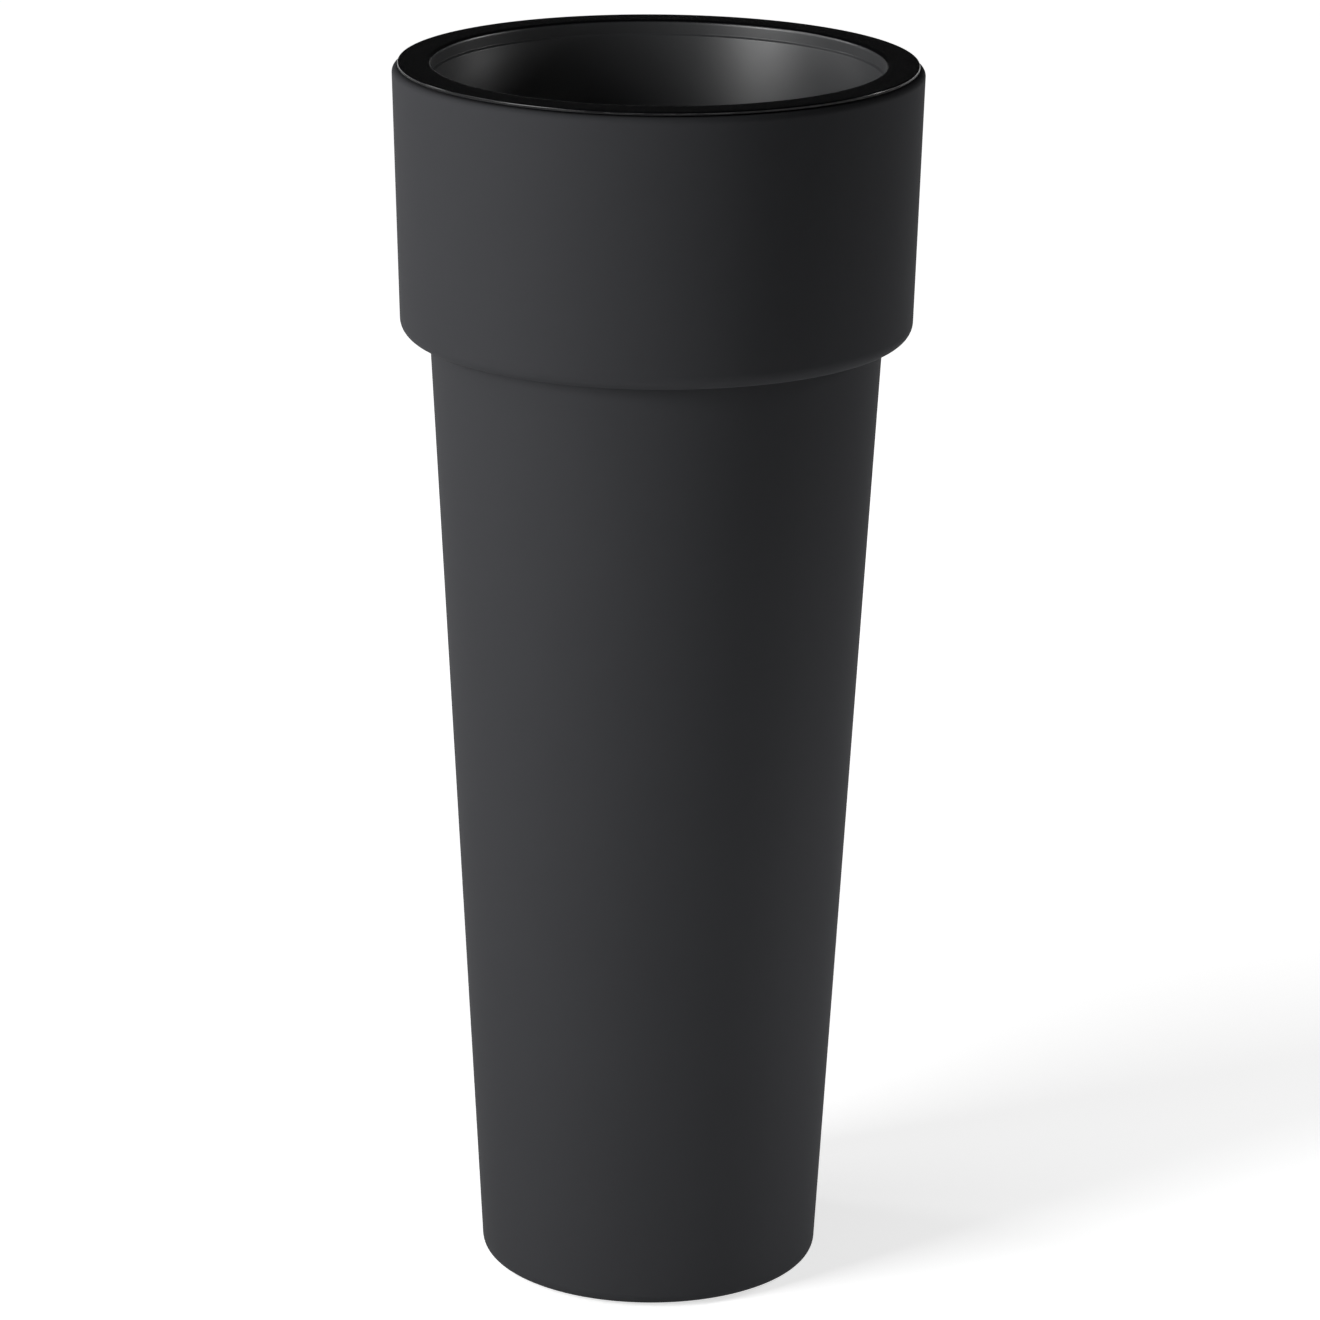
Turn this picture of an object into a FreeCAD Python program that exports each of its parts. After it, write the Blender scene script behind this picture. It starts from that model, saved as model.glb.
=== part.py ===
import FreeCAD, Part
import os
import Sketcher

# Tall round planter: a tapered column with a wider collar bonded round its head, and a glossy
# drop-in liner that hangs in the collar by its flange. Origin on the floor, in the middle of the
# foot, +Z up, millimetres.

doc = FreeCAD.newDocument("tall_planter")

# ---------------------------------------------------------------- driving dimensions
sizes = {
    "overall_height": 1000,          # floor to the top of the liner's flange
    "shell_wall": 4,                 # laminate of the column and the collar
    "bond_gap": 0.3,                 # adhesive line between bonded pieces

    "collar_top_diameter": 419,
    "collar_height": 213,            # underside to rim land
    "collar_draft": 6,               # its flank stands this much further in at the underside
    "collar_overhang": 23.2,         # from the column's flank out to the collar's lower edge
    "collar_top_edge_radius": 4.5,
    "collar_lower_edge_radius": 12,
    "collar_inner_lip": 14,          # turned down inside the column's head
    "collar_bond_lip": 22,           # turned up along the column

    "foot_diameter": 275,            # at the column's underside, before its edge is rounded
    "foot_edge_radius": 10,
    "foot_wall": 5,                  # thickness of the foot's turned-in edge
    "foot_return": 37.5,             # width of that edge

    "seal_height": 1,
    "seal_width": 10,
    "seal_inset": 5,                 # in from the flange's edge, which leaves a shadow gap

    "flange_thickness": 3,
    "flange_inset": 4.5,             # in from the collar's flank
    "flange_edge_bevel": 1,
    "mouth_edge_radius": 3,
    "neck_clearance": 1.17,          # between the neck and the collar's inner lip
    "neck_depth": 11,                # flange top to the step under the upright neck
    "neck_step": 1.5,
    "liner_wall": 3,
    "liner_depth": 330,              # flange top to the underside of the standing ribs
    "liner_foot_gap": 20.4,          # round the liner's foot, inside the column
    "liner_floor_cove": 12,          # slanted band between the wall and the floor
    "liner_floor_wall": 4,
    "liner_floor_fall": 4,           # the floor slopes this much towards the drain
    "liner_drain_diameter": 20,
    "standing_rib_height": 3,
    "standing_rib_width": 4,
    "standing_rib_count": 8,
    "standing_rib_margin": 20,       # from a rib's ends to the plug's head and the floor's edge

    "shelf_wall": 4,
    "shelf_width": 55,
    "shelf_lip": 16,
    "shelf_clearance": 1,            # under the liner's ribs, so that the flange carries it

    "base_wall": 5,
    "base_lip": 20,
    "base_drain_diameter": 24,

    "plug_clearance": 0.05,
    "plug_head_overlap": 5,          # how far the head reaches past its hole
    "plug_head_thickness": 2.5,
    "plug_stem_past": 4,             # how far the stem stands past the plate
    "plug_wall": 2.5,
    "plug_bar_width": 4,

    "pad_height": 2,
    "pad_diameter": 20,
    "pad_count": 4,
}
bevel_share = 0.6    # an inner bevel of this share of an inner radius leaves the wall as thick

sheet = doc.addObject("Spreadsheet::Sheet", "Sizes")
for row, (alias, number) in enumerate(sizes.items(), start=1):
    sheet.set(f"A{row}", alias)
    sheet.set(f"B{row}", str(number))
    sheet.setAlias(f"B{row}", alias)
doc.recompute()


def half(alias):
    """Half of a diameter in the sheet, as an expression."""
    return f"(Sizes.{alias} / 2)"


def value(expression):
    """The number that an expression on the sheet gives now."""
    return float(sheet.evalExpression(expression.replace("Sizes.", "")))


# ---------------------------------------------------------------- levels and flanks
foot_z = "Sizes.pad_height"
flange_z = "(Sizes.overall_height - Sizes.flange_thickness)"
land_z = f"({flange_z} - Sizes.seal_height)"
collar_z = f"({land_z} - Sizes.collar_height)"
head_z = f"({land_z} - Sizes.shell_wall - Sizes.bond_gap)"
base_z = f"({foot_z} + Sizes.foot_wall)"
liner_z = "(Sizes.overall_height - Sizes.liner_depth)"
floor_z = f"({liner_z} + Sizes.standing_rib_height)"
shelf_z = f"({liner_z} - Sizes.shelf_clearance)"


def collar_outside(height):
    """Radius of the collar's outer flank at a height."""
    drop = f"({land_z} - {height}) / Sizes.collar_height"
    return f"({half('collar_top_diameter')} - Sizes.collar_draft * {drop})"


def column_outside(height):
    """Radius of the column's flank: straight from the foot, through the step under the collar."""
    spread = f"({collar_outside(collar_z)} - Sizes.collar_overhang - {half('foot_diameter')})"
    rise = f"({height} - {foot_z}) / ({collar_z} - {foot_z})"
    return f"({half('foot_diameter')} + {spread} * {rise})"


def column_inside(height):
    return f"({column_outside(height)} - Sizes.shell_wall)"


def bonded_inside(height):
    """Radius of a piece that is bonded inside the column."""
    return f"({column_inside(height)} - Sizes.bond_gap)"


lip_z = f"({head_z} - Sizes.collar_inner_lip)"
lip_inside = f"({bonded_inside(lip_z)} - Sizes.shell_wall)"
flange_radius = f"({half('collar_top_diameter')} - Sizes.flange_inset)"
mouth_radius = f"({lip_inside} - Sizes.neck_clearance - Sizes.liner_wall)"
liner_foot_radius = f"({column_inside(floor_z)} - Sizes.liner_foot_gap)"
foot_opening_radius = f"({half('foot_diameter')} - Sizes.foot_return)"


# ---------------------------------------------------------------- modelling helpers
def new_body(label):
    body = doc.addObject("PartDesign::Body", label)
    body.Label = label
    return body


def origin_feature(body, role):
    return next(item for item in body.Origin.OriginFeatures if item.Role == role)


def new_sketch(body, name, role):
    sketch = body.newObject("Sketcher::SketchObject", name)
    sketch.AttachmentSupport = [(origin_feature(body, role), "")]
    sketch.MapMode = "FlatFace"
    return sketch


def place_point(sketch, geometry, point, direction, expression):
    """Ties one coordinate of a sketch point to an expression."""
    axis_line = {"DistanceX": -2, "DistanceY": -1}[direction]
    number = value(expression)
    origin, corner = (-1, 1), (geometry, point)
    if expression == "0":
        sketch.addConstraint(Sketcher.Constraint("PointOnObject", geometry, point, axis_line))
        return
    if number < 0:
        ends, number, expression = corner + origin, -number, f"-({expression})"
    else:
        ends = origin + corner
    index = sketch.addConstraint(Sketcher.Constraint(direction, *ends, number))
    sketch.setExpression(f"Constraints[{index}]", expression)


def outline(body, name, corners, role="XZ_Plane"):
    """A closed outline; each corner is a pair of expressions, and on XZ a radius and a height."""
    sketch = new_sketch(body, name, role)
    points = [FreeCAD.Vector(value(across), value(up), 0) for across, up in corners]
    count = len(points)
    for index in range(count):
        sketch.addGeometry(Part.LineSegment(points[index], points[(index + 1) % count]), False)
    for index in range(count):
        sketch.addConstraint(Sketcher.Constraint("Coincident", index, 2, (index + 1) % count, 1))
    for index, (across, up) in enumerate(corners):
        place_point(sketch, index, 1, "DistanceX", across)
        place_point(sketch, index, 1, "DistanceY", up)
    return sketch


def revolve(body, name, corners):
    """A full turn of an outline about the vertical axis."""
    sketch = outline(body, name + "_outline", corners)
    turned = body.newObject("PartDesign::Revolution", name)
    turned.Profile = sketch
    turned.ReferenceAxis = (sketch, ["V_Axis"])
    turned.Angle = 360
    doc.recompute()
    return turned


def add_bar(body, name, ends, width, bottom, height):
    """A straight bar along X between two ends, of a width across, standing on a level."""
    start, end = ends
    side = f"({width} / 2)"
    sketch = outline(body, name + "_outline", [
        (start, f"-{side}"),
        (end, f"-{side}"),
        (end, side),
        (start, side),
    ], "XY_Plane")
    sketch.setExpression("AttachmentOffset.Base.z", bottom)
    bar = body.newObject("PartDesign::Pad", name)
    bar.Profile = sketch
    bar.setExpression("Length", height)
    doc.recompute()
    return bar


def ring_edges(shape, radius, height):
    """Names of the full circles of a radius at a height about the vertical axis."""
    close = 0.02
    names = []
    for number, edge in enumerate(shape.Edges, start=1):
        if not isinstance(edge.Curve, Part.Circle):
            continue
        centre = edge.Curve.Center
        on_axis = abs(centre.x) < close and abs(centre.y) < close
        if on_axis and abs(centre.z - height) < close and abs(edge.Curve.Radius - radius) < close:
            names.append(f"Edge{number}")
    return names


def dress_rings(body, kind, name, size, corners):
    """Rounds or bevels the circular edges that the given corners of the outline have swept."""
    base = body.Tip
    names = []
    for across, up in corners:
        found = ring_edges(base.Shape, value(across), value(up))
        if not found:
            raise RuntimeError(f"{body.Label}: no edge for {name}")
        names += found
    dressed = body.newObject(f"PartDesign::{kind}", name)
    dressed.Base = (base, names)
    dressed.setExpression({"Fillet": "Radius", "Chamfer": "Size"}[kind], size)
    doc.recompute()
    return dressed


def round_rings(body, name, radius, corners):
    return dress_rings(body, "Fillet", name, radius, corners)


def bevel_rings(body, name, size, corners):
    return dress_rings(body, "Chamfer", name, size, corners)


def repeat_round(body, name, feature, count):
    """Repeats a feature evenly round the vertical axis."""
    pattern = body.newObject("PartDesign::PolarPattern", name)
    pattern.Originals = [feature]
    pattern.Axis = (origin_feature(body, "Z_Axis"), [""])
    pattern.Angle = 360
    pattern.setExpression("Occurrences", count)
    body.Tip = pattern
    doc.recompute()
    return pattern


# ---------------------------------------------------------------- column shell
def make_column_shell():
    """Tapered tube with a rounded foot whose edge is turned in to carry the base."""
    body = new_body("column_shell")
    foot = (half("foot_diameter"), foot_z)
    revolve(body, "column", [
        foot,
        (column_outside(head_z), head_z),
        (column_inside(head_z), head_z),
        (column_inside(base_z), base_z),
        (foot_opening_radius, base_z),
        (foot_opening_radius, foot_z),
    ])
    round_rings(body, "foot_edge", "Sizes.foot_edge_radius", [foot])
    return body


# ---------------------------------------------------------------- collar shell
def make_collar_shell():
    """Hollow band: rim land, flank and underside in one wall, with a lip at each end that bonds
    it to the column's head and flank."""
    wall = "Sizes.shell_wall"
    lip_outside = bonded_inside(lip_z)
    under_z = f"({land_z} - {wall})"
    over_z = f"({collar_z} + {wall})"
    bond_z = f"({collar_z} + Sizes.collar_bond_lip)"

    def bond_inside(height):
        return f"({column_outside(height)} + Sizes.bond_gap)"

    body = new_body("collar_shell")
    rim = (half("collar_top_diameter"), land_z)
    rim_under = (f"({collar_outside(under_z)} - {wall})", under_z)
    low = (collar_outside(collar_z), collar_z)
    low_over = (f"({collar_outside(over_z)} - {wall})", over_z)
    inner_round = f"max(Sizes.collar_lower_edge_radius - {wall}; {wall} / 4)"
    revolve(body, "collar", [
        rim,
        low,
        (bond_inside(collar_z), collar_z),
        (bond_inside(bond_z), bond_z),
        (f"({bond_inside(bond_z)} + {wall})", bond_z),
        (f"({bond_inside(over_z)} + {wall})", over_z),
        low_over,
        rim_under,
        (lip_outside, under_z),
        (lip_outside, lip_z),
        (lip_inside, lip_z),
        (lip_inside, land_z),
    ])
    round_rings(body, "rim_edge", "Sizes.collar_top_edge_radius", [rim])
    round_rings(body, "lower_edge", "Sizes.collar_lower_edge_radius", [low])
    bevel_rings(body, "lower_edge_inside", f"{inner_round} * {bevel_share}", [low_over])
    return body


# ---------------------------------------------------------------- bonded inner pieces
def make_base_plate():
    """Dished disc on the foot's turned-in edge, with a rim turned up along the column."""
    top_z = f"({base_z} + Sizes.base_wall)"
    rim_z = f"({top_z} + Sizes.base_lip)"
    body = new_body("base_plate")
    inner_corner = (f"({bonded_inside(top_z)} - Sizes.base_wall)", top_z)
    revolve(body, "base", [
        (half("base_drain_diameter"), base_z),
        (bonded_inside(base_z), base_z),
        (bonded_inside(rim_z), rim_z),
        (f"({bonded_inside(rim_z)} - Sizes.base_wall)", rim_z),
        inner_corner,
        (half("base_drain_diameter"), top_z),
    ])
    bevel_rings(body, "dish_corner", "Sizes.base_wall", [inner_corner])
    return body


def make_liner_shelf():
    """Ring under the liner's foot, with a rim turned down along the column."""
    under_z = f"({shelf_z} - Sizes.shelf_wall)"
    lip_z = f"({under_z} - Sizes.shelf_lip)"
    opening = f"({bonded_inside(shelf_z)} - Sizes.shelf_width)"
    body = new_body("liner_shelf")
    revolve(body, "shelf", [
        (opening, shelf_z),
        (bonded_inside(shelf_z), shelf_z),
        (bonded_inside(lip_z), lip_z),
        (f"({bonded_inside(lip_z)} - Sizes.shelf_wall)", lip_z),
        (f"({bonded_inside(under_z)} - Sizes.shelf_wall)", under_z),
        (opening, under_z),
    ])
    return body


def make_rim_seal():
    """Soft strip on the rim land, set in from the edge so that a thin shadow gap shows."""
    outside = f"({flange_radius} - Sizes.seal_inset)"
    inside = f"({outside} - Sizes.seal_width)"
    body = new_body("rim_seal")
    revolve(body, "seal", [
        (inside, land_z),
        (outside, land_z),
        (outside, flange_z),
        (inside, flange_z),
    ])
    return body


# ---------------------------------------------------------------- liner
def make_liner():
    """Drop-in pot: broad flange, upright neck, small step, drawn wall, falling floor, drain."""
    wall = "Sizes.liner_wall"
    neck_z = "(Sizes.overall_height - Sizes.neck_depth)"
    step_z = f"({neck_z} - Sizes.neck_step)"
    throat = f"({mouth_radius} - Sizes.neck_step)"
    pot = f"({liner_foot_radius} - {wall})"
    drain = half("liner_drain_diameter")
    floor_top_z = f"({floor_z} + Sizes.liner_floor_wall)"
    floor_edge_z = f"({floor_top_z} + Sizes.liner_floor_fall)"

    body = new_body("liner")
    flange_top = (flange_radius, "Sizes.overall_height")
    mouth_edge = (mouth_radius, "Sizes.overall_height")
    floor_inside = (pot, floor_edge_z)
    floor_outside = (liner_foot_radius, floor_z)
    revolve(body, "pot", [
        flange_top,
        mouth_edge,
        (mouth_radius, neck_z),
        (throat, step_z),
        floor_inside,
        (drain, floor_top_z),
        (drain, floor_z),
        floor_outside,
        (f"({throat} + {wall})", f"({step_z} - {wall} / 2)"),
        (f"({mouth_radius} + {wall})", f"({neck_z} - {wall} / 2)"),
        (f"({mouth_radius} + {wall})", flange_z),
        (flange_radius, flange_z),
    ])
    round_rings(body, "mouth_edge", "Sizes.mouth_edge_radius", [mouth_edge])
    bevel_rings(body, "flange_edge", "Sizes.flange_edge_bevel", [flange_top])
    bevel_rings(body, "floor_cove", "Sizes.liner_floor_cove", [floor_inside])
    bevel_rings(body, "floor_edge", "Sizes.liner_floor_cove + Sizes.liner_floor_fall",
                [floor_outside])
    add_standing_ribs(body)
    return body


def add_standing_ribs(body):
    """Radial ribs under the liner's floor: it stands on them when it is lifted out."""
    margin = "Sizes.standing_rib_margin"
    inner = f"({half('liner_drain_diameter')} + Sizes.plug_head_overlap + {margin})"
    outer = f"({liner_foot_radius} - {margin})"
    rib = add_bar(body, "standing_rib", (inner, outer), "Sizes.standing_rib_width", liner_z,
                  "Sizes.standing_rib_height + Sizes.liner_floor_wall / 2")
    repeat_round(body, "standing_ribs", rib, "Sizes.standing_rib_count")


# ---------------------------------------------------------------- drain plugs
def make_drain_plug(label, hole_diameter, plate_z, plate_wall):
    """Hollow bung pushed up into a drain hole from below: flat head, tapered nose, and a bar
    across its recess to pull it by."""
    hole = half(hole_diameter)
    stem = f"({hole} - Sizes.plug_clearance)"
    head = f"({hole} + Sizes.plug_head_overlap)"
    head_z = f"({plate_z} - Sizes.plug_head_thickness)"
    shoulder_z = f"({plate_z} + {plate_wall})"
    nose_z = f"({shoulder_z} + Sizes.plug_stem_past)"
    nose = f"({stem} - Sizes.plug_stem_past / 4)"
    recess = f"({nose} - Sizes.plug_wall)"
    roof_z = f"({nose_z} - Sizes.plug_wall)"

    body = new_body(label)
    revolve(body, label + "_cup", [
        ("0", nose_z),
        (nose, nose_z),
        (stem, shoulder_z),
        (stem, plate_z),
        (head, plate_z),
        (head, head_z),
        (recess, head_z),
        (recess, roof_z),
        ("0", roof_z),
    ])
    reach = f"({recess} + Sizes.plug_wall / 2)"
    add_bar(body, label + "_bar", (f"-{reach}", reach), "Sizes.plug_bar_width",
            f"({head_z} + Sizes.plug_head_thickness / 2)", "Sizes.plug_wall")
    return body


# ---------------------------------------------------------------- foot pads
def make_foot_pads():
    """Round pads in the middle of the foot's flat band, as separate solids of one group."""
    pad = doc.addObject("Part::Cylinder", "pad")
    pad.setExpression("Radius", half("pad_diameter"))
    pad.setExpression("Height", "Sizes.pad_height")
    flat_edge = f"({half('foot_diameter')} - Sizes.foot_edge_radius)"
    pad.setExpression("Placement.Base.x", f"({flat_edge} + {foot_opening_radius}) / 2")
    doc.recompute()
    count = int(value("Sizes.pad_count"))
    copies = []
    for index in range(count):
        turned = pad.Shape.copy()
        turned.rotate(FreeCAD.Vector(), FreeCAD.Vector(0, 0, 1), 360 * (index + 0.5) / count)
        copies.append(turned)
    pads = doc.addObject("Part::Feature", "foot_pads")
    pads.Label = "foot_pads"
    pads.Shape = Part.makeCompound(copies)
    return pads


# ---------------------------------------------------------------- build, check, write
pieces = [
    make_column_shell(),
    make_collar_shell(),
    make_base_plate(),
    make_liner_shelf(),
    make_rim_seal(),
    make_foot_pads(),
    make_liner(),
    make_drain_plug("base_drain_plug", "base_drain_diameter", base_z, "Sizes.base_wall"),
    make_drain_plug("liner_drain_plug", "liner_drain_diameter", floor_z,
                    "Sizes.liner_floor_wall"),
]
doc.recompute()

for item in doc.Objects:
    if "Invalid" in item.State or "Error" in item.State:
        raise RuntimeError(f"{item.Label} failed: {item.State}")
for piece in pieces:
    if piece.Shape.isNull() or not piece.Shape.isValid():
        raise RuntimeError(f"{piece.Label} has no valid shape")

os.makedirs("parts", exist_ok=True)
for piece in pieces:
    piece.Shape.exportStep(f"parts/{piece.Label}.step")
    print(f"{piece.Label}: {len(piece.Shape.Solids)} solid(s), "
          f"{piece.Shape.Volume / 1000:.1f} cm3")
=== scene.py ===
import math

import bmesh
import bpy
from mathutils import Matrix, Vector


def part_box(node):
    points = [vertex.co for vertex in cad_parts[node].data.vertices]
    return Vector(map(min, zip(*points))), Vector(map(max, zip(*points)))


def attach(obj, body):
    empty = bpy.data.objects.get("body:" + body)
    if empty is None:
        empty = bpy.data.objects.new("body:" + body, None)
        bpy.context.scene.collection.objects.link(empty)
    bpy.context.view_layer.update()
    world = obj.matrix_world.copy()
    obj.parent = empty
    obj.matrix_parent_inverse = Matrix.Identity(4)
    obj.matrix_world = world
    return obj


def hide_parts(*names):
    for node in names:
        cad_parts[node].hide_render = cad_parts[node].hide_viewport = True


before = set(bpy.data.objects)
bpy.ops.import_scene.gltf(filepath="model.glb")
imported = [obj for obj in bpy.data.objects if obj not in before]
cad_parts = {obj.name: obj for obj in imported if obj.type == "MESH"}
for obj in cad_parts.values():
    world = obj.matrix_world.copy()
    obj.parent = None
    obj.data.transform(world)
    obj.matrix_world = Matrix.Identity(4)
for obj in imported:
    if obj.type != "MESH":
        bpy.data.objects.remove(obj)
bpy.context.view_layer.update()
print("frame loaded:", ", ".join(sorted(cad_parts)))


# a socket that Python's operators work on, each by adding a Math node
class Wire:
    def __init__(self, graph, socket):
        self.graph, self.socket = graph, socket

    def out(self, name):
        return Wire(self.graph, self.socket.node.outputs[name])

    def join(self, operation, first, second):
        return self.graph.add("ShaderNodeMath", {"operation": operation}, {0: first, 1: second})

    def __add__(self, other):
        return self.join("ADD", self, other)

    def __radd__(self, other):
        return self.join("ADD", other, self)

    def __sub__(self, other):
        return self.join("SUBTRACT", self, other)

    def __rsub__(self, other):
        return self.join("SUBTRACT", other, self)

    def __mul__(self, other):
        return self.join("MULTIPLY", self, other)

    def __rmul__(self, other):
        return self.join("MULTIPLY", other, self)

    def __truediv__(self, other):
        return self.join("DIVIDE", self, other)

    def __rtruediv__(self, other):
        return self.join("DIVIDE", other, self)

    def __mod__(self, other):
        return self.join("FLOORED_MODULO", self, other)

    def __gt__(self, other):
        return self.join("GREATER_THAN", self, other)

    def __lt__(self, other):
        return self.join("LESS_THAN", self, other)

    def apply(self, operation):
        return self.graph.add("ShaderNodeMath", {"operation": operation}, {0: self})


# one node tree; add makes every node
class Graph:
    def __init__(self, tree):
        self.tree = tree

    def add(self, kind, settings=None, sockets=None, out=0):
        node = self.tree.nodes.new(kind)
        for name, setting in (settings or {}).items():
            setattr(node, name, setting)
        for name, given in (sockets or {}).items():
            if isinstance(given, Wire):
                self.tree.links.new(given.socket, node.inputs[name])
            else:
                node.inputs[name].default_value = given
        return Wire(self, node.outputs[out]) if node.outputs else None

    # a value from one range to another, held at its ends
    def spread(self, wire, low, high, outLow, outHigh, smooth=False):
        shape = "SMOOTHSTEP" if smooth else "LINEAR"
        return self.add("ShaderNodeMapRange", {"interpolation_type": shape},
                        {"Value": wire, "From Min": low, "From Max": high,
                         "To Min": outLow, "To Max": outHigh})

    def mixColours(self, factor, first, second):
        return self.add("ShaderNodeMix", {"data_type": "RGBA"},
                        {"Factor": factor, 6: first, 7: second}, out=2)

    # the height is in metres, so both settings stay at 1
    def bump(self, height):
        return self.add("ShaderNodeBump", None,
                        {"Height": height, "Strength": 1.0, "Distance": 1.0})


def grey(level):
    return (level, level, level, 1.0)


def shade(colour, times):
    return tuple(part * times for part in colour[:3]) + (1.0,)


# finishes: each takes the object's own coordinates, in metres
def newFinish(name):
    finish = bpy.data.materials.new(name)
    finish.use_nodes = True
    finish.node_tree.nodes.clear()
    graph = Graph(finish.node_tree)
    place = graph.add("ShaderNodeTexCoord").out("Object")
    return finish, graph, place


def endFinish(graph, sockets):
    surface = graph.add("ShaderNodeBsdfPrincipled", None, sockets)
    graph.add("ShaderNodeOutputMaterial", None, {"Surface": surface})


def noise(graph, place, scale, detail):
    return graph.add("ShaderNodeTexNoise", None,
                     {"Vector": place, "Scale": scale, "Detail": detail})


gelcoat = {
    "colour": (0.0358, 0.0364, 0.0391, 1.0),
    "mottle": 0.05,             # share that the colour drifts by
    "mottleScale": 9.0,         # per metre
    "roughness": 0.7,
    "roughnessDrift": 0.04,
    "shine": 0.03,              # specular level
    "peelScale": 420.0,
    "peelDepth": 0.00002,       # metres
    "waveScale": 14.0,          # long ripples that the mould leaves
    "waveDepth": 0.0003,
}


def makeGelcoat():
    finish, graph, place = newFinish("satin_gelcoat")
    drift = noise(graph, place, gelcoat["mottleScale"], detail=3.0)
    dark = shade(gelcoat["colour"], 1 - gelcoat["mottle"])
    light = shade(gelcoat["colour"], 1 + gelcoat["mottle"])
    colour = graph.mixColours(drift, dark, light)
    rough = gelcoat["roughness"] + (drift - 0.5) * (2 * gelcoat["roughnessDrift"])
    peel = noise(graph, place, gelcoat["peelScale"], detail=1.0)
    wave = noise(graph, place, gelcoat["waveScale"], detail=0.0)
    height = peel * gelcoat["peelDepth"] + wave * gelcoat["waveDepth"]
    endFinish(graph, {"Base Color": colour, "Roughness": rough, "Normal": graph.bump(height),
                      "Specular IOR Level": gelcoat["shine"]})
    return finish


laminate = {
    "colour": (0.05, 0.05, 0.052, 1.0),
    "strandColour": (0.085, 0.085, 0.082, 1.0),
    "roughness": 0.62,
    "strandPolish": 0.12,       # how much smoother a strand is than the coat
    "strandCover": 0.6,         # how far a strand's colour shows through the coat
    "strandTurns": ((0.0, 0.0, 0.4), (0.9, 0.0, 1.5), (0.3, 1.1, 2.6)),
    "strandEdge": (0.5, 0.62),  # levels of noise between which a strand begins
    "strandScale": 90.0,
    "strandLength": 9.0,        # a strand is this many times as long as it is thick
    "strandDepth": 0.0004,
    "lumpScale": 34.0,
    "lumpDepth": 0.0012,
}


# chopped strands under a thin coat: noise stretched once along each turn
def makeLaminate():
    finish, graph, place = newFinish("raw_laminate")
    strands = None
    for turn in laminate["strandTurns"]:
        turned = graph.add("ShaderNodeMapping", None,
                           {"Vector": place, "Rotation": turn,
                            "Scale": (1.0, laminate["strandLength"], laminate["strandLength"])})
        layer = noise(graph, turned, laminate["strandScale"], detail=1.0)
        layer = graph.spread(layer, *laminate["strandEdge"], 0.0, 1.0, smooth=True)
        strands = layer if strands is None else strands.join("MAXIMUM", strands, layer)
    lumps = noise(graph, place, laminate["lumpScale"], detail=2.0)
    colour = graph.mixColours(strands * laminate["strandCover"], laminate["colour"],
                              laminate["strandColour"])
    height = strands * laminate["strandDepth"] + lumps * laminate["lumpDepth"]
    rough = laminate["roughness"] - strands * laminate["strandPolish"]
    endFinish(graph, {"Base Color": colour, "Roughness": rough, "Normal": graph.bump(height)})
    return finish


# polished on the flange, satin where the sheet was drawn down the wall; the inside colour is
# painted light, a lighter copy of the black plastic standing in for the lamps' light on the inner
# wall
gloss = {
    "colour": (0.0025, 0.0026, 0.0032, 1.0),    # of the flange, as is its roughness
    "roughness": 0.19,
    # the inner wall's colour is painted light: a lit copy of the flange's black plastic
    "inside": {"colour": (0.038, 0.039, 0.041, 1.0), "roughness": 0.41, "shine": 0.75},
    "outside": {"colour": (0.006, 0.006, 0.007, 1.0), "roughness": 0.36, "shine": 0.22},
    "drawnAndPaintedLightFrom": (0.9975, 0.9993),  # heights between which the one turns into the other
    "roughnessDrift": 0.04,
    "driftScale": 30.0,
    "peelScale": 260.0,
    "peelDepth": 0.000006,
    "scratchScale": 160.0,
    "scratchLength": 30.0,
    "scratchTurn": (0.5, 0.2, 0.8),
    "scratchEdge": (0.66, 0.72),    # levels of noise between which a scratch begins
    "scratchDepth": 0.0000015,
    "scratchRoughness": 0.06,
}


def makeGloss(side):
    wallSkinAndPaintedLight = gloss[side]
    finish, graph, place = newFinish("polished_black_" + side)
    drift = noise(graph, place, gloss["driftScale"], detail=3.0)
    peel = noise(graph, place, gloss["peelScale"], detail=0.0)
    turned = graph.add("ShaderNodeMapping", None,
                       {"Vector": place, "Rotation": gloss["scratchTurn"],
                        "Scale": (1.0, gloss["scratchLength"], 1.0)})
    scratch = noise(graph, turned, gloss["scratchScale"], detail=0.0)
    scratch = graph.spread(scratch, *gloss["scratchEdge"], 0.0, 1.0)
    up = graph.add("ShaderNodeSeparateXYZ", None, {"Vector": place}).out("Z")
    polishAndPaintedLight = graph.spread(up, *gloss["drawnAndPaintedLightFrom"], 0.0, 1.0, smooth=True)
    # for the inside finish, the wall below the flange takes a painted-lit colour, lighter than the
    # flange's black
    colour = graph.mixColours(polishAndPaintedLight, wallSkinAndPaintedLight["colour"], gloss["colour"])
    skin = graph.spread(polishAndPaintedLight, 0.0, 1.0, wallSkinAndPaintedLight["roughness"], gloss["roughness"])
    drifted = skin + (drift - 0.5) * (2 * gloss["roughnessDrift"])
    rough = drifted + scratch * gloss["scratchRoughness"]
    height = peel * gloss["peelDepth"] - scratch * gloss["scratchDepth"]
    endFinish(graph, {"Base Color": colour, "Roughness": rough, "Normal": graph.bump(height),
                      "Specular IOR Level": wallSkinAndPaintedLight["shine"]})
    return finish


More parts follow.
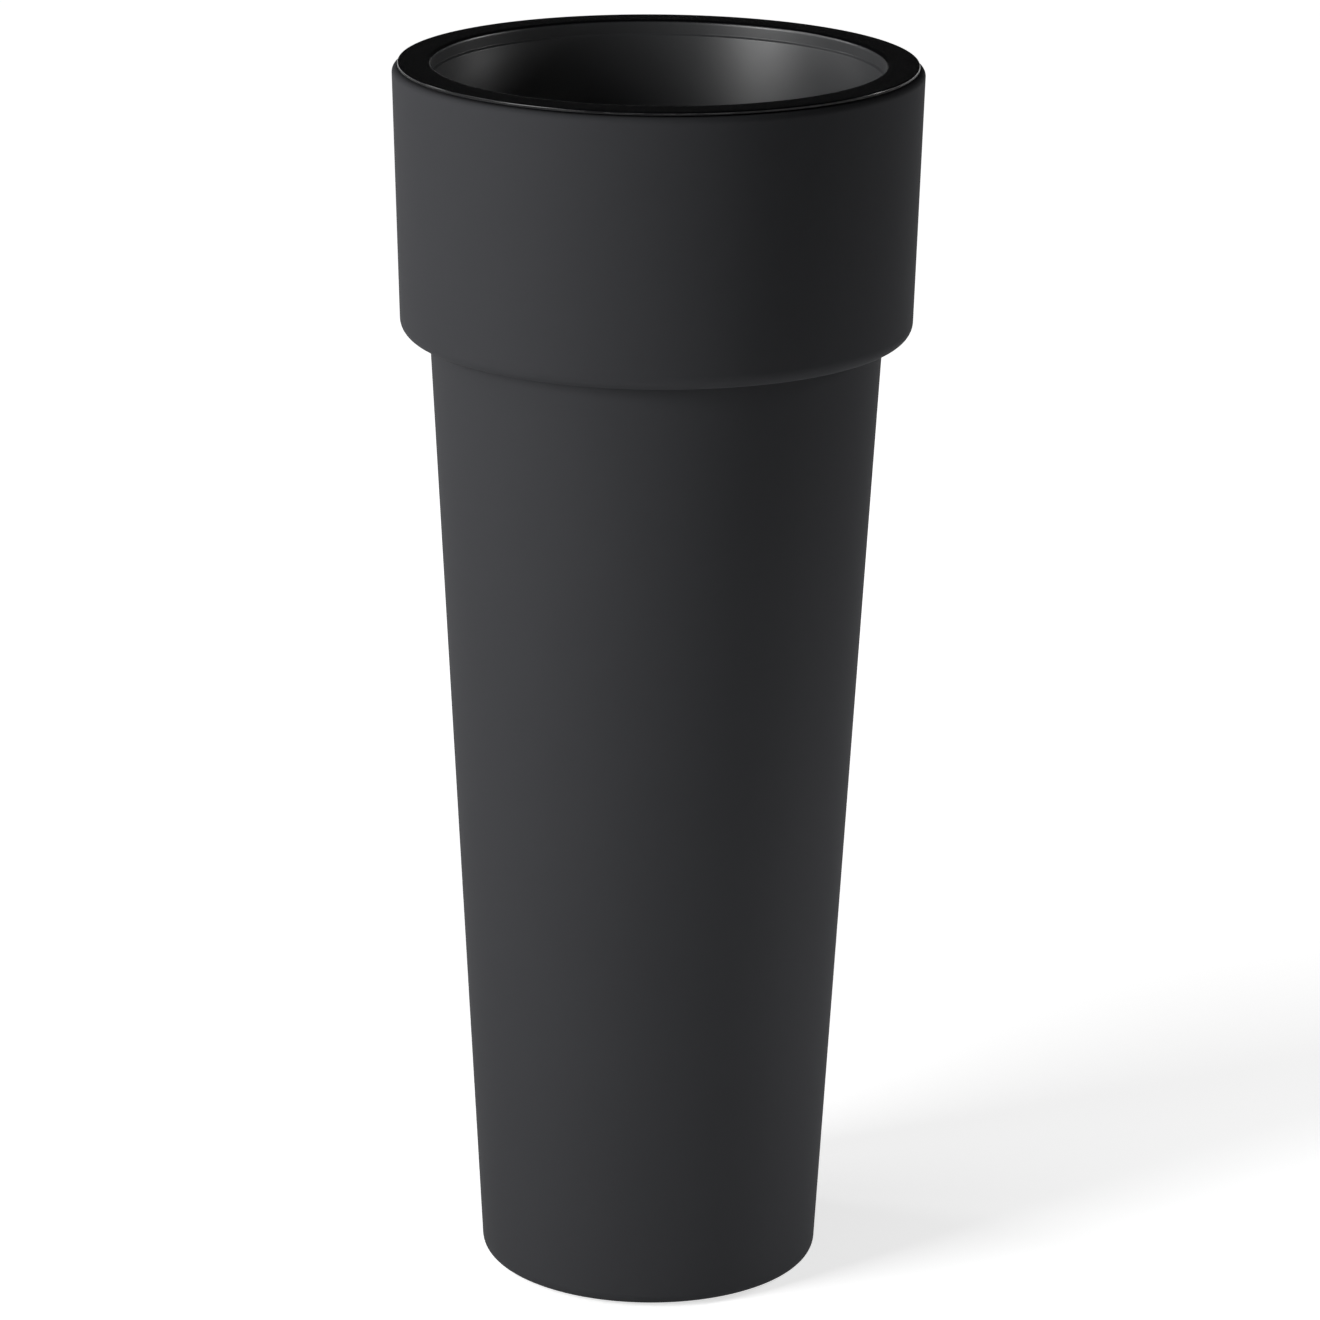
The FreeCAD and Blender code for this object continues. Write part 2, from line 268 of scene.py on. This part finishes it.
# moulded rubber and foam rubber, by colour, roughness and grain
rubbers = {
    "foam_rubber": {"colour": (0.012, 0.012, 0.012, 1.0), "roughness": 0.85, "grainScale": 900.0,
                    "grainDepth": 0.0003},
    "plug_rubber": {"colour": (0.02, 0.02, 0.02, 1.0), "roughness": 0.6, "grainScale": 700.0,
                    "grainDepth": 0.00008},
    "pad_rubber": {"colour": (0.025, 0.025, 0.025, 1.0), "roughness": 0.7, "grainScale": 600.0,
                   "grainDepth": 0.0001},
}
dust = {
    "coarseness": 12,           # a speck of dust is this many times as wide as a grain
    "lightness": 1.8,           # dusty rubber is this many times as light as clean rubber
    "edge": (0.45, 0.75),       # levels of noise between which the dust thickens
    "cover": 0.6,
    "roughness": 0.1,
}


def makeRubber(name):
    kind = rubbers[name]
    finish, graph, place = newFinish(name)
    grain = noise(graph, place, kind["grainScale"], detail=2.0)
    specks = noise(graph, place, kind["grainScale"] / dust["coarseness"], detail=3.0)
    cover = graph.spread(specks, *dust["edge"], 0.0, dust["cover"])
    colour = graph.mixColours(cover, kind["colour"], shade(kind["colour"], dust["lightness"]))
    rough = kind["roughness"] + (specks - 0.5) * dust["roughness"]
    bump = graph.bump(grain * kind["grainDepth"])
    endFinish(graph, {"Base Color": colour, "Roughness": rough, "Normal": bump})
    return finish


finishes = {"shell": makeGelcoat(), "laminate": makeLaminate(), "liner": makeGloss("outside"),
            "linerPaintedLitInside": makeGloss("inside")}
for name in rubbers:
    finishes[name] = makeRubber(name)
print("finishes made:", len(finishes))


# turned pieces: an outline of radius and height, swept round the vertical axis
turning = {
    "segments": 256,
    "arcStep": math.radians(9),     # turn of one step along a rounded corner
    "rest": 0.0006,                 # from a round to the point that keeps the flat beside it flat
    "restRoom": 3,                  # a straight run needs this many rests to get such a point
    "seam": 0.000002,               # distance at which doubled points merge
}


# corners are (radius, height, rounding); gives the outline's points in order
def roundOutline(corners):
    points = []
    count = len(corners)
    rest = turning["rest"]
    room = turning["restRoom"] * rest
    for index, (across, up, rounding) in enumerate(corners):
        here = Vector((across, up))
        before = Vector(corners[index - 1][:2]) - here
        after = Vector(corners[(index + 1) % count][:2]) - here
        if rounding <= 0:
            points.append(here)
            continue
        toBefore, toAfter = before.normalized(), after.normalized()
        opening = toBefore.angle(toAfter)
        reach = rounding / math.tan(opening / 2)
        middle = here + (toBefore + toAfter).normalized() * rounding / math.sin(opening / 2)
        start, end = here + toBefore * reach, here + toAfter * reach
        if before.length - reach > room:
            points.append(start + toBefore * rest)
        steps = max(2, math.ceil((math.pi - opening) / turning["arcStep"]))
        for step in range(steps + 1):
            way = (start - middle).slerp(end - middle, step / steps).normalized()
            points.append(middle + way * rounding)
        if after.length - reach > room:
            points.append(end + toAfter * rest)
    return points


def interface(tree, ins, outs):
    for way, sockets in (("INPUT", ins), ("OUTPUT", outs)):
        for label, kind in sockets:
            tree.interface.new_socket(label, in_out=way, socket_type="NodeSocket" + kind)


# a grid whose rows each take their place from one point of the outline, and columns from a turn
def makeTurnTree():
    tree = bpy.data.node_groups.new("turnRoundAxis", "GeometryNodeTree")
    interface(tree, [("Outline", "Geometry"), ("Segments", "Int"), ("Inner From", "Int"),
                     ("Inner To", "Int"), ("Finish", "Material"), ("Inner Finish", "Material")],
              [("Turned", "Geometry")])
    graph = Graph(tree)
    given = graph.add("NodeGroupInput", out="Outline")
    rows = graph.add("GeometryNodeAttributeDomainSize", {"component": "MESH"},
                     {"Geometry": given}, out="Point Count")
    across = given.out("Segments") + 1
    along = rows + 1
    grid = graph.add("GeometryNodeMeshGrid", None, {"Vertices X": across, "Vertices Y": along})
    number = graph.add("GeometryNodeInputIndex")
    column = (number / along).apply("FLOOR")
    row = (number % along) % rows
    place = graph.add("GeometryNodeInputPosition")
    found = graph.add("GeometryNodeSampleIndex", {"data_type": "FLOAT_VECTOR"},
                      {"Geometry": given, "Value": place, "Index": row})
    radius = graph.add("ShaderNodeSeparateXYZ", None, {"Vector": found}, out="X")
    angle = column * (2 * math.pi) / given.out("Segments")
    swung = graph.add("ShaderNodeCombineXYZ", None,
                      {"X": radius * angle.apply("COSINE"), "Y": radius * angle.apply("SINE"),
                       "Z": radius.out("Z")})
    turned = graph.add("GeometryNodeSetPosition", None, {"Geometry": grid, "Position": swung})
    faceRow = number % rows
    inner = (faceRow > given.out("Inner From") - 0.5) * (faceRow < given.out("Inner To") + 0.5)
    marked = graph.add("GeometryNodeStoreNamedAttribute",
                       {"data_type": "BOOLEAN", "domain": "FACE"},
                       {"Geometry": turned, "Name": "innerFace", "Value": inner})
    merged = graph.add("GeometryNodeMergeByDistance", None,
                       {"Geometry": marked, "Distance": turning["seam"]})
    smooth = graph.add("GeometryNodeSetShadeSmooth", None, {"Geometry": merged})
    real = graph.add("GeometryNodeRealizeInstances", None, {"Geometry": smooth})
    dressed = graph.add("GeometryNodeSetMaterial", None,
                        {"Geometry": real, "Material": given.out("Finish")})
    isInner = graph.add("GeometryNodeInputNamedAttribute", {"data_type": "BOOLEAN"},
                        {"Name": "innerFace"})
    dressed = graph.add("GeometryNodeSetMaterial", None,
                        {"Geometry": dressed, "Selection": isInner,
                         "Material": given.out("Inner Finish")})
    graph.add("NodeGroupOutput", None, {"Turned": dressed})
    return tree


# copies of a piece set evenly round the vertical axis
def makeRingTree():
    tree = bpy.data.node_groups.new("setRoundAxis", "GeometryNodeTree")
    interface(tree, [("Piece", "Geometry"), ("Count", "Int"), ("First Turn", "Float"),
                     ("Finish", "Material")], [("Ring", "Geometry")])
    graph = Graph(tree)
    given = graph.add("NodeGroupInput", out="Piece")
    places = graph.add("GeometryNodeMeshLine", None,
                       {"Count": given.out("Count"), "Offset": (0.0, 0.0, 0.0)})
    number = graph.add("GeometryNodeInputIndex")
    turn = given.out("First Turn") + number * (2 * math.pi) / given.out("Count")
    spin = graph.add("ShaderNodeCombineXYZ", None, {"Z": turn})
    copies = graph.add("GeometryNodeInstanceOnPoints", None,
                       {"Points": places, "Instance": given, "Rotation": spin})
    real = graph.add("GeometryNodeRealizeInstances", None, {"Geometry": copies})
    dressed = graph.add("GeometryNodeSetMaterial", None,
                        {"Geometry": real, "Material": given.out("Finish")})
    graph.add("NodeGroupOutput", None, {"Ring": dressed})
    return tree


# runs a tree on a mesh, with the tree's inputs by name, and gives the plain mesh
def runTree(tree, mesh, inputs):
    helper = bpy.data.objects.new("helper", mesh)
    bpy.context.scene.collection.objects.link(helper)
    modifier = helper.modifiers.new("nodes", "NODES")
    modifier.node_group = tree
    identifiers = {item.name: item.identifier for item in tree.interface.items_tree
                   if item.in_out == "INPUT"}
    for label, setting in inputs.items():
        modifier[identifiers[label]] = setting
    bpy.context.view_layer.update()
    depsgraph = bpy.context.evaluated_depsgraph_get()
    result = bpy.data.meshes.new_from_object(helper.evaluated_get(depsgraph))
    helper.modifiers.remove(modifier)
    bpy.data.objects.remove(helper)
    return result


turnTree = makeTurnTree()
ringTree = makeRingTree()


# innerRange gives the first and last outline corner between which the faces are the inner ones
def turnPiece(corners, finish, innerFinish=None, innerRange=None):
    points = roundOutline(corners)
    outlineMesh = bpy.data.meshes.new("outline")
    outlineMesh.from_pydata([(point.x, 0.0, point.y) for point in points], [], [])
    first = last = len(points) + 1      # past the last row, so that no face is an inner one
    if innerRange:
        spots = [Vector(corners[index][:2]) for index in innerRange]
        first, last = (min(range(len(points)), key=lambda at, spot=spot: (points[at] - spot).length)
                       for spot in spots)
    return runTree(turnTree, outlineMesh, {
        "Segments": turning["segments"], "Inner From": first, "Inner To": last,
        "Finish": finish, "Inner Finish": innerFinish or finish})


def joinMeshes(meshes):
    joined = bmesh.new()
    finishList = []
    for mesh in meshes:
        start = len(joined.faces)
        joined.from_mesh(mesh)
        joined.faces.ensure_lookup_table()
        for face in joined.faces[start:]:
            finish = mesh.materials[face.material_index]
            if finish not in finishList:
                finishList.append(finish)
            face.material_index = finishList.index(finish)
    bmesh.ops.recalc_face_normals(joined, faces=joined.faces)
    result = bpy.data.meshes.new("joined")
    joined.to_mesh(result)
    joined.free()
    for finish in finishList:
        result.materials.append(finish)
    return result


# a finished piece stands for one CAD node, on that node's body
def finishPiece(node, meshes, body):
    mesh = joinMeshes(meshes)
    mesh.name = node + "_skin"
    piece = bpy.data.objects.new(node + "_skin", mesh)
    bpy.context.scene.collection.objects.link(piece)
    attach(piece, body)
    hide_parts(node)
    print(f"{piece.name}: {len(mesh.polygons)} faces")


blocks = {"edgeSteps": 3, "edgeProfile": 0.5}   # a profile of 0.5 is round


# a block with rounded edges, between two corners
def softBlock(low, high, rounding):
    block = bmesh.new()
    middle = (Vector(low) + Vector(high)) / 2
    size = Vector(high) - Vector(low)
    bmesh.ops.create_cube(block, size=1.0,
                          matrix=Matrix.Translation(middle) @ Matrix.Diagonal(size).to_4x4())
    bmesh.ops.bevel(block, geom=block.edges, offset=rounding, segments=blocks["edgeSteps"],
                    profile=blocks["edgeProfile"], affect="EDGES")
    for face in block.faces:
        face.smooth = True
    mesh = bpy.data.meshes.new("block")
    block.to_mesh(mesh)
    block.free()
    return mesh


# column: straight taper from foot to head, foot rounded and turned in
columnLow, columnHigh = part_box("column_shell")
baseLow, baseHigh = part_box("base_plate")
column = {
    "footRadius": 0.1375,
    "footEdge": 0.010,
    "footOpening": 0.100,       # radius inside the turned-in edge
    "wall": 0.004,
    "edge": 0.0004,             # slight rounding of trimmed laminate
}


def columnOutside(height):
    share = (height - columnLow.z) / (columnHigh.z - columnLow.z)
    return column["footRadius"] + (columnHigh.x - column["footRadius"]) * share


def makeColumn():
    wall, edge = column["wall"], column["edge"]
    footTop = baseLow.z
    corners = [
        (column["footOpening"], columnLow.z, edge),
        (column["footRadius"], columnLow.z, column["footEdge"]),
        (columnOutside(columnHigh.z), columnHigh.z, edge),
        (columnOutside(columnHigh.z) - wall, columnHigh.z, edge),
        (columnOutside(footTop) - wall, footTop, edge),
        (column["footOpening"], footTop, edge),
    ]
    mesh = turnPiece(corners, finishes["shell"], finishes["laminate"], (3, 5))
    finishPiece("column_shell", [mesh], "shell")


# collar: rim land, flank and underside, with a bonding lip at each end
collarLow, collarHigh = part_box("collar_shell")
collar = {
    "topRadius": 0.2095,        # before the shoulder is rounded
    "draft": 0.006,
    "topEdge": 0.0045,
    "lowEdge": 0.012,
    "wall": 0.004,
    "columnGap": 0.0003,        # filled with adhesive
    "bondLip": 0.022,           # turned up along the column
    "innerLip": 0.014,          # turned down inside the column's head
    "edge": 0.0004,
}


def makeCollar():
    wall, edge, gap = collar["wall"], collar["edge"], collar["columnGap"]
    top, low = collarHigh.z, collarLow.z
    lipLow = columnHigh.z - collar["innerLip"]
    lipRadius = columnOutside(lipLow) - column["wall"] - gap
    slope = collar["draft"] / (top - low)
    bondTop = low + collar["bondLip"]
    corners = [
        (lipRadius - wall, top, 2 * edge),
        (collar["topRadius"], top, collar["topEdge"]),
        (collar["topRadius"] - collar["draft"], low, collar["lowEdge"]),
        (columnOutside(low) + gap, low, edge),
        (columnOutside(bondTop) + gap, bondTop, edge),
        (columnOutside(bondTop) + gap + wall, bondTop, edge),
        (columnOutside(low + wall) + gap + wall, low + wall, edge),
        (collar["topRadius"] - collar["draft"] + slope * wall - wall, low + wall,
         collar["lowEdge"] - wall),
        (collar["topRadius"] - slope * wall - wall, top - wall, edge),
        (lipRadius, top - wall, edge),
        (lipRadius, lipLow, edge),
        (lipRadius - wall, lipLow, edge),
    ]
    mesh = turnPiece(corners, finishes["shell"], finishes["laminate"], (4, 11))
    finishPiece("collar_shell", [mesh], "shell")


# liner: flange, neck, small step, drawn wall, falling floor with a drain, standing ribs
linerLow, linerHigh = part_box("liner")
liner = {
    "flange": 0.003,
    "flangeWidth": 0.0265,
    "flangeEdge": 0.0012,
    "mouthEdge": 0.003,
    "neck": 0.011,              # from the flange's top down to the step
    "step": 0.0015,
    "wall": 0.003,
    "footRadius": 0.14987,      # before the cove is rounded
    "cove": 0.018,
    "ribHeight": 0.003,
    "floorWall": 0.004,
    "floorFall": 0.004,
    "drainRadius": 0.010,
    "soft": 0.0008,
}
ribs = {
    "count": 8,
    "inner": 0.035,             # radii where a rib starts and ends
    "outer": 0.1298,
    "width": 0.004,
    "edge": 0.0006,
}


def makeLiner():
    wall, soft, top = liner["wall"], liner["soft"], linerHigh.z
    mouth = linerHigh.x - liner["flangeWidth"]
    throat = mouth - liner["step"]
    neckLow = top - liner["neck"]
    stepLow = neckLow - liner["step"]
    floorLow = linerLow.z + liner["ribHeight"]
    floorTop = floorLow + liner["floorWall"]
    foot = liner["footRadius"]
    corners = [
        (linerHigh.x, top, liner["flangeEdge"]),
        (mouth, top, liner["mouthEdge"]),
        (mouth, neckLow, soft / 2),
        (throat, stepLow, soft / 2),
        (foot - wall, floorTop + liner["floorFall"], liner["cove"]),
        (liner["drainRadius"], floorTop, soft),
        (liner["drainRadius"], floorLow, soft),
        (foot, floorLow, liner["cove"] + wall),
        (throat + wall, stepLow - wall / 2, soft / 2),
        (mouth + wall, neckLow - wall / 2, soft / 2),
        (mouth + wall, top - liner["flange"], soft / 2),
        (linerHigh.x, top - liner["flange"], soft),
    ]
    pot = turnPiece(corners, finishes["liner"], finishes["linerPaintedLitInside"], (1, 6))
    rib = softBlock((ribs["inner"], -ribs["width"] / 2, linerLow.z),
                    (ribs["outer"], ribs["width"] / 2, floorLow + liner["floorWall"] / 2),
                    ribs["edge"])
    ring = runTree(ringTree, rib, {"Count": ribs["count"], "First Turn": 0.0,
                                   "Finish": finishes["liner"]})
    finishPiece("liner", [pot, ring], "liner")


# shelf and base: bonded inside the column, each with its opening's radius
shelfLow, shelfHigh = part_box("liner_shelf")
shelf = {"opening": 0.11475, "wall": 0.004, "gap": 0.0003, "edge": 0.0006}
base = {"drainRadius": 0.012, "wall": 0.005, "gap": 0.0003, "edge": 0.0006, "corner": 0.010}


def bondedRadius(height, gap):
    return columnOutside(height) - column["wall"] - gap


def makeShelf():
    top, low, wall, edge = shelfHigh.z, shelfLow.z, shelf["wall"], shelf["edge"]
    under = top - wall
    corners = [
        (shelf["opening"], top, edge),
        (bondedRadius(top, shelf["gap"]), top, edge),
        (bondedRadius(low, shelf["gap"]), low, edge),
        (bondedRadius(low, shelf["gap"]) - wall, low, edge),
        (bondedRadius(under, shelf["gap"]) - wall, under, edge),
        (shelf["opening"], under, edge),
    ]
    mesh = turnPiece(corners, finishes["laminate"])
    finishPiece("liner_shelf", [mesh], "shell")


def makeBase():
    top, low, wall, edge = baseHigh.z, baseLow.z, base["wall"], base["edge"]
    plateTop = low + wall
    corners = [
        (base["drainRadius"], low, edge),
        (bondedRadius(low, base["gap"]), low, edge),
        (bondedRadius(top, base["gap"]), top, edge),
        (bondedRadius(top, base["gap"]) - wall, top, edge),
        (bondedRadius(plateTop, base["gap"]) - wall, plateTop, base["corner"]),
        (base["drainRadius"], plateTop, edge),
    ]
    mesh = turnPiece(corners, finishes["laminate"])
    finishPiece("base_plate", [mesh], "shell")


# drain plugs: hollow bung with a bar across its recess to pull it by
plug = {
    "clearance": 0.00005,
    "noseTaper": 0.001,         # the nose's radius is this much less than the stem's
    "head": 0.0025,
    "headCorner": 0.0002,       # where the stem meets the head
    "wall": 0.0025,
    "barWidth": 0.004,
    "soft": 0.0006,
    "edge": 0.0009,
}


def makePlug(node, body, holeRadius, plateLow, plateWall):
    low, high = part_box(node)
    stem = holeRadius - plug["clearance"]
    nose = stem - plug["noseTaper"]
    recess = nose - plug["wall"]
    roof = high.z - plug["wall"]
    corners = [
        (0.0, high.z, 0.0),
        (nose, high.z, plug["soft"]),
        (stem, plateLow + plateWall, plug["soft"]),
        (stem, plateLow, plug["headCorner"]),
        (high.x, plateLow, plug["edge"]),
        (high.x, low.z, plug["edge"]),
        (recess, low.z, plug["soft"]),
        (recess, roof, plug["soft"]),
        (0.0, roof, 0.0),
    ]
    cup = turnPiece(corners, finishes["plug_rubber"])
    reach = recess + plug["wall"] / 2
    barLow = low.z + plug["head"] / 2
    bar = softBlock((-reach, -plug["barWidth"] / 2, barLow),
                    (reach, plug["barWidth"] / 2, barLow + plug["wall"]), plug["soft"])
    bar.materials.append(finishes["plug_rubber"])
    finishPiece(node, [cup, bar], body)


# foot pads: round, with a shallow dish underneath, set round the foot
pad = {
    "count": 4,
    "radius": 0.010,
    "edge": 0.0006,
    "dish": 0.007,              # radius of the dish at its mouth
    "dishDepth": 0.0005,
}


def makePads():
    low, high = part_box("foot_pads")
    corners = [
        (0.0, high.z, 0.0),
        (pad["radius"], high.z, pad["edge"] / 2),
        (pad["radius"], low.z, pad["edge"]),
        (pad["dish"], low.z, pad["edge"] / 3),
        (pad["dish"] - 2 * pad["dishDepth"], low.z + pad["dishDepth"], pad["edge"] / 3),
        (0.0, low.z + pad["dishDepth"], 0.0),
    ]
    one = turnPiece(corners, finishes["pad_rubber"])
    flatOuter = column["footRadius"] - column["footEdge"]
    away = (flatOuter + column["footOpening"]) / 2      # the middle of the foot's flat
    one.transform(Matrix.Translation((away, 0.0, 0.0)))
    ring = runTree(ringTree, one, {"Count": pad["count"], "First Turn": math.pi / pad["count"],
                                   "Finish": finishes["pad_rubber"]})
    finishPiece("foot_pads", [ring], "shell")


# rim seal: soft strip between flange and rim land
seal = {"width": 0.010, "edge": 0.0003}


def makeSeal():
    low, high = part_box("rim_seal")
    inner = high.x - seal["width"]
    corners = [(inner, low.z, seal["edge"]), (high.x, low.z, seal["edge"]),
               (high.x, high.z, seal["edge"]), (inner, high.z, seal["edge"])]
    mesh = turnPiece(corners, finishes["foam_rubber"])
    finishPiece("rim_seal", [mesh], "shell")


makeColumn()
makeCollar()
makeLiner()
makeShelf()
makeBase()
makeSeal()
makePads()
makePlug("base_drain_plug", "base_drain_plug", base["drainRadius"], baseLow.z, base["wall"])
makePlug("liner_drain_plug", "liner_drain_plug", liner["drainRadius"],
         linerLow.z + liner["ribHeight"], liner["floorWall"])
print("pieces made")


# floor, surroundings and lamps
studio = {
    "floorSize": 60.0,
    "floorDrop": 0.0002,        # keeps the floor off the pads' lower faces
    "floorColour": grey(0.75),
    "liftNear": 0.66,           # what the floor adds for the camera and for gloss, by the object
    "liftFar": 1.0,
    "nearRadius": 0.5,
    "farRadius": 2.2,
    "skyDark": 0.01,            # what lights the object from all round
    "glowFrom": 0.0,            # in gloss, the white backdrop ends between these sines of elevation
    "glowTop": 0.05,
    "lampAim": (0.0, 0.0, 0.55),
}


# 1 for the rays that show the background: the camera's, and those from gloss and through glass
def isSeen(graph):
    camera = graph.add("ShaderNodeLightPath", out="Is Camera Ray")
    seen = camera.join("MAXIMUM", camera, camera.out("Is Glossy Ray"))
    return seen.join("MAXIMUM", seen, camera.out("Is Transmission Ray"))


def makeFloor():
    half = studio["floorSize"] / 2
    mesh = bpy.data.meshes.new("floor")
    low = -studio["floorDrop"]
    mesh.from_pydata([(-half, -half, low), (half, -half, low), (half, half, low),
                      (-half, half, low)], [], [(0, 1, 2, 3)])
    floor = bpy.data.objects.new("floor", mesh)
    bpy.context.scene.collection.objects.link(floor)
    finish, graph, place = newFinish("studio_floor")
    matt = graph.add("ShaderNodeBsdfDiffuse", None, {"Color": studio["floorColour"]})
    away = graph.add("ShaderNodeVectorMath", {"operation": "LENGTH"}, {0: place}, out="Value")
    level = graph.spread(away, studio["nearRadius"], studio["farRadius"],
                         studio["liftNear"], studio["liftFar"], smooth=True)
    lift = graph.add("ShaderNodeEmission", None,
                     {"Color": grey(1.0), "Strength": isSeen(graph) * level})
    both = graph.add("ShaderNodeAddShader", None, {0: matt, 1: lift})
    graph.add("ShaderNodeOutputMaterial", None, {"Surface": both})
    mesh.materials.append(finish)


def makeSky():
    world = bpy.data.worlds.new("studio")
    bpy.context.scene.world = world
    world.use_nodes = True
    world.node_tree.nodes.clear()
    graph = Graph(world.node_tree)
    way = graph.add("ShaderNodeTexCoord", out="Generated")     # in a world, the ray's direction
    sine = graph.add("ShaderNodeSeparateXYZ", None, {"Vector": way}).out("Z")
    glow = graph.spread(sine, studio["glowFrom"], studio["glowTop"], 1.0, 0.0, smooth=True)
    camera = graph.add("ShaderNodeLightPath", out="Is Camera Ray")
    strength = camera.join("MAXIMUM", camera, isSeen(graph) * glow + studio["skyDark"])
    sky = graph.add("ShaderNodeBackground", None, {"Color": grey(1.0), "Strength": strength})
    graph.add("ShaderNodeOutputWorld", None, {"Surface": sky})


# azimuths run from the camera's side towards the right; all in degrees, metres and watts
lamps = {
    "key": {"azimuth": -57, "elevation": 17, "distance": 2.8, "size": (1.1, 1.6), "power": 83.0},
    "side": {"azimuth": -90, "elevation": 38, "distance": 2.8, "size": (0.9, 1.1), "power": 10.0},
    "rim": {"azimuth": -112, "elevation": 22, "distance": 2.8, "size": (0.5, 0.8), "power": 10.0},
    "back": {"azimuth": 108, "elevation": 20, "distance": 2.8, "size": (0.3, 0.5), "power": 15.0},
    "low": {"azimuth": 78, "elevation": -28, "distance": 0.95, "size": (0.4, 0.2), "power": 2.5},
    "front": {"azimuth": 20, "elevation": -22, "distance": 1.2, "size": (0.5, 0.2), "power": 1.0},
}


def makeLamps():
    aim = Vector(studio["lampAim"])
    for name, lamp in lamps.items():
        azimuth, elevation = math.radians(lamp["azimuth"]), math.radians(lamp["elevation"])
        way = Vector((math.sin(azimuth) * math.cos(elevation),
                      -math.cos(azimuth) * math.cos(elevation), math.sin(elevation)))
        data = bpy.data.lights.new(name, "AREA")
        data.shape = "RECTANGLE"
        data.size, data.size_y = lamp["size"]
        data.energy = lamp["power"]
        lampObject = bpy.data.objects.new(name, data)
        lampObject.location = aim + way * lamp["distance"]
        lampObject.rotation_euler = (-way).to_track_quat("-Z", "Y").to_euler()
        bpy.context.scene.collection.objects.link(lampObject)


# camera at the photograph's view; places in metres, lens and sensor in millimetres
view = {
    "place": (0.0, -4.3053, 1.8154),
    "lens": 151.535,
    "sensor": 36.0,
    "farClip": 200.0,
    "pitch": 0.29458,           # downwards; these three are in radians
    "yaw": -0.00124,
    "roll": -0.00936,
}


def makeCamera():
    data = bpy.data.cameras.new("photo_view")
    data.lens, data.sensor_width = view["lens"], view["sensor"]
    data.clip_end = view["farClip"]
    camera = bpy.data.objects.new("photo_view", data)
    bpy.context.scene.collection.objects.link(camera)
    yaw, pitch, roll = view["yaw"], view["pitch"], view["roll"]
    level = Vector((-math.sin(yaw), math.cos(yaw), 0.0))
    side = Vector((math.cos(yaw), math.sin(yaw), 0.0))
    ahead = level * math.cos(pitch) - Vector((0.0, 0.0, math.sin(pitch)))
    above = level * math.sin(pitch) + Vector((0.0, 0.0, math.cos(pitch)))
    right = side * math.cos(roll) - above * math.sin(roll)
    up = side * math.sin(roll) + above * math.cos(roll)
    turned = Matrix((right, up, -ahead)).transposed().to_4x4()
    camera.matrix_world = Matrix.Translation(view["place"]) @ turned
    bpy.context.scene.camera = camera


makeFloor()
makeSky()
makeLamps()
makeCamera()
bpy.context.scene.view_settings.view_transform = "Standard"
print("studio ready")
